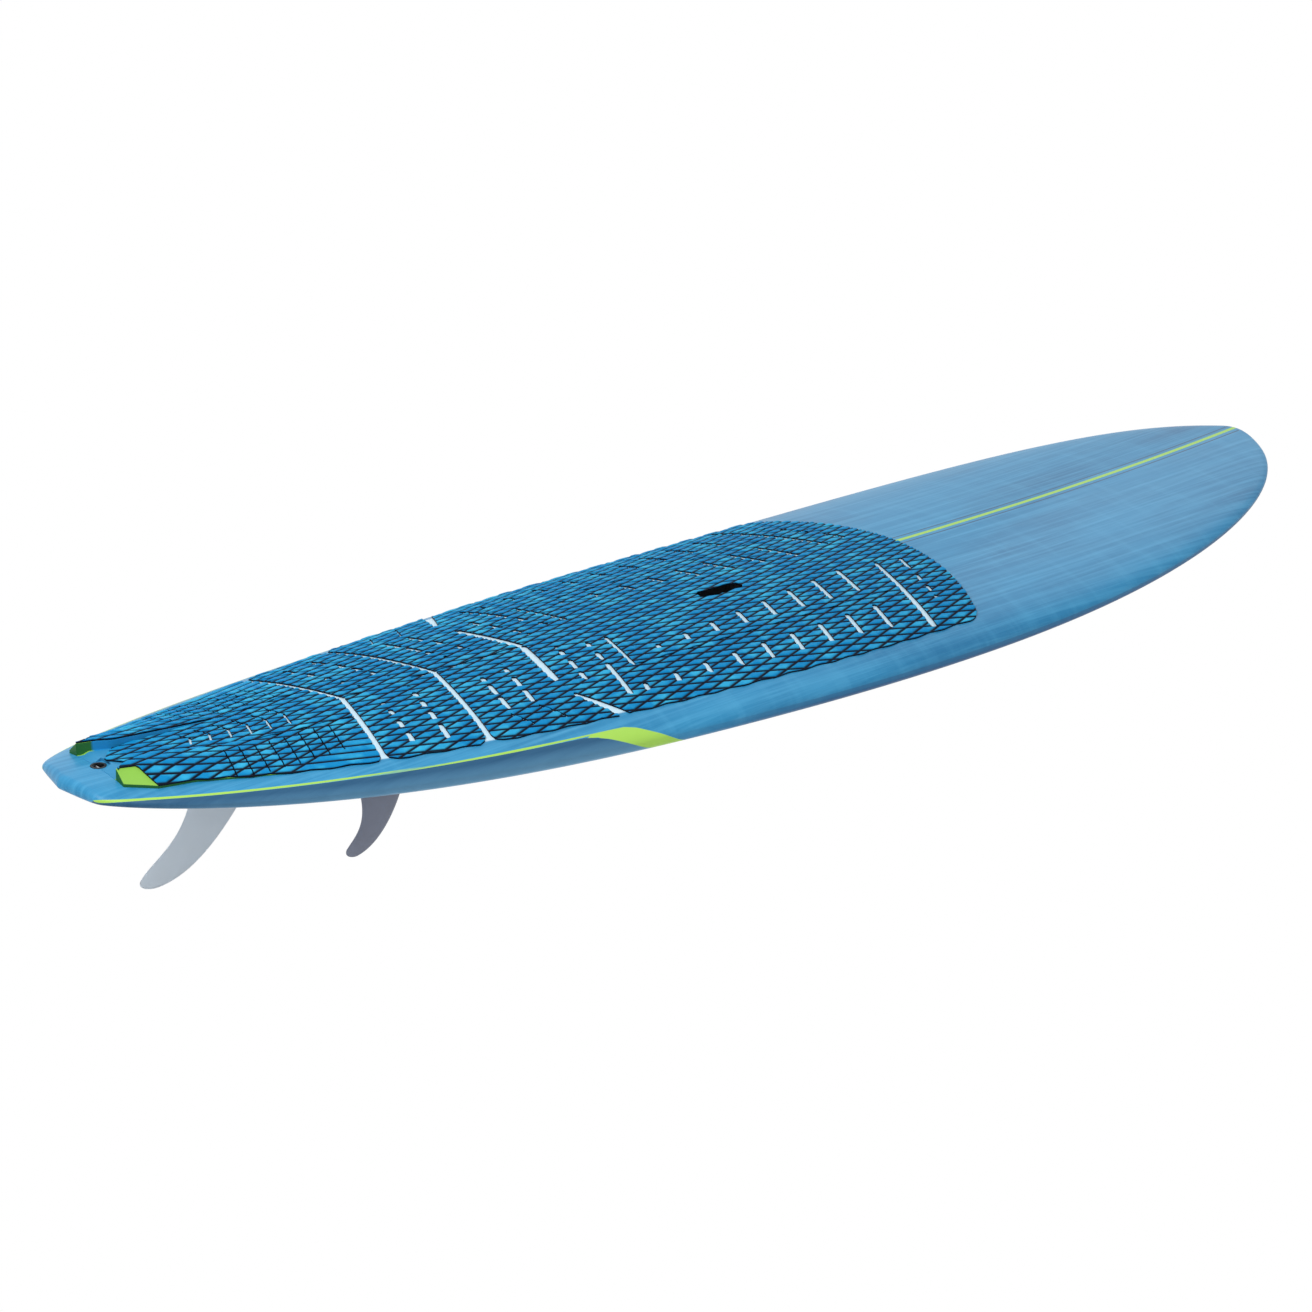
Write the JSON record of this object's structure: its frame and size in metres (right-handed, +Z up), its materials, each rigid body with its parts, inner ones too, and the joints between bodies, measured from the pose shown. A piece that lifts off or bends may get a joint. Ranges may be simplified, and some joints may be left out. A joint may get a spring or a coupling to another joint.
{
  "type": "stand-up surfboard",
  "caption": "Blue composite stand-up paddle or longboard with a full foam deck pad, raised tail kick, recessed carry handle, leash plug and a centre fin flanked by side fins.",
  "frame": {"origin": "middle of the bounding box in plan, at the level of the centre fin tip (the lowest point)", "axes": "+X towards the nose, +Y towards the port rail, +Z up, out of the deck"},
  "size_m": [2.7428, 0.7536, 0.3085],
  "materials": {
    "deck_paint": "light blue glossy paint with fine lengthwise brush streaks",
    "rail_paint": "glossy navy and blue paint over a hard laminate",
    "foam_core": "expanded polystyrene foam, unpainted",
    "stringer_wood": "bare wood",
    "green_foam": "closed-cell EVA foam, lime green",
    "blue_foam": "closed-cell EVA foam, blue, with a moulded diamond grip",
    "black_plastic": "moulded black plastic",
    "seal_rubber": "soft seal rubber",
    "stainless_steel": "stainless steel",
    "clear_fin": "smoky see-through plastic, polished",
    "dark_fin": "dark grey glossy plastic",
    "fin_brass": "plain machined brass"
  },
  "bodies": {
    "board": {"deck_skin": "deck_paint", "bottom_skin": "rail_paint", "core_rear_port": "foam_core", "core_side_port": "foam_core", "core_floor_port": "foam_core", "core_front_port": "foam_core", "core_rear_starboard": "foam_core", "core_side_starboard": "foam_core", "core_floor_starboard": "foam_core", "core_front_starboard": "foam_core", "stringer": "stringer_wood", "kick_wedge_port": "green_foam", "kick_wedge_starboard": "green_foam", "tail_pad_port": "blue_foam", "tail_pad_centre": "blue_foam", "tail_pad_starboard": "blue_foam", "mid_pad": "blue_foam", "front_pad_rear": "blue_foam", "front_pad_port": "blue_foam", "front_pad_starboard": "blue_foam", "front_pad_front": "blue_foam", "handle_cup": "black_plastic", "vent_body": "black_plastic", "vent_oring": "seal_rubber", "leash_cup": "black_plastic", "leash_pin": "stainless_steel", "centre_fin_box": "black_plastic", "side_fin_box_port": "black_plastic", "side_fin_box_starboard": "black_plastic", "side_fin_screw_port": "stainless_steel", "side_fin_screw_starboard": "stainless_steel"},
    "centre_fin_body": {"centre_fin": "clear_fin", "centre_fin_pin": "fin_brass", "centre_fin_nut_plate": "fin_brass", "centre_fin_screw": "stainless_steel"},
    "port_fin_body": {"side_fin_port": "dark_fin"},
    "starboard_fin_body": {"side_fin_starboard": "dark_fin"},
    "vent_screw_body": {"vent_screw": "black_plastic"}
  },
  "joints": [
    {"name": "centre_fin_slide", "type": "slide", "parent": "board", "child": "centre_fin_body", "axis": [0.9952, 0, -0.0977], "range_m": [-0.035, 0.071]},
    {"name": "side_fin_port_pull", "type": "slide", "parent": "board", "child": "port_fin_body", "axis": [-0.0633, 0.0871, -0.9942], "range_m": [0, 0.022]},
    {"name": "side_fin_starboard_pull", "type": "slide", "parent": "board", "child": "starboard_fin_body", "axis": [-0.0633, -0.0871, -0.9942], "range_m": [0, 0.022]},
    {"name": "vent_turn", "type": "hinge", "parent": "board", "child": "vent_screw_body", "pos_m": [0.0135, 0, 0.2115], "axis": [0, 0, 1], "range_deg": [0, 360]}
  ]
}
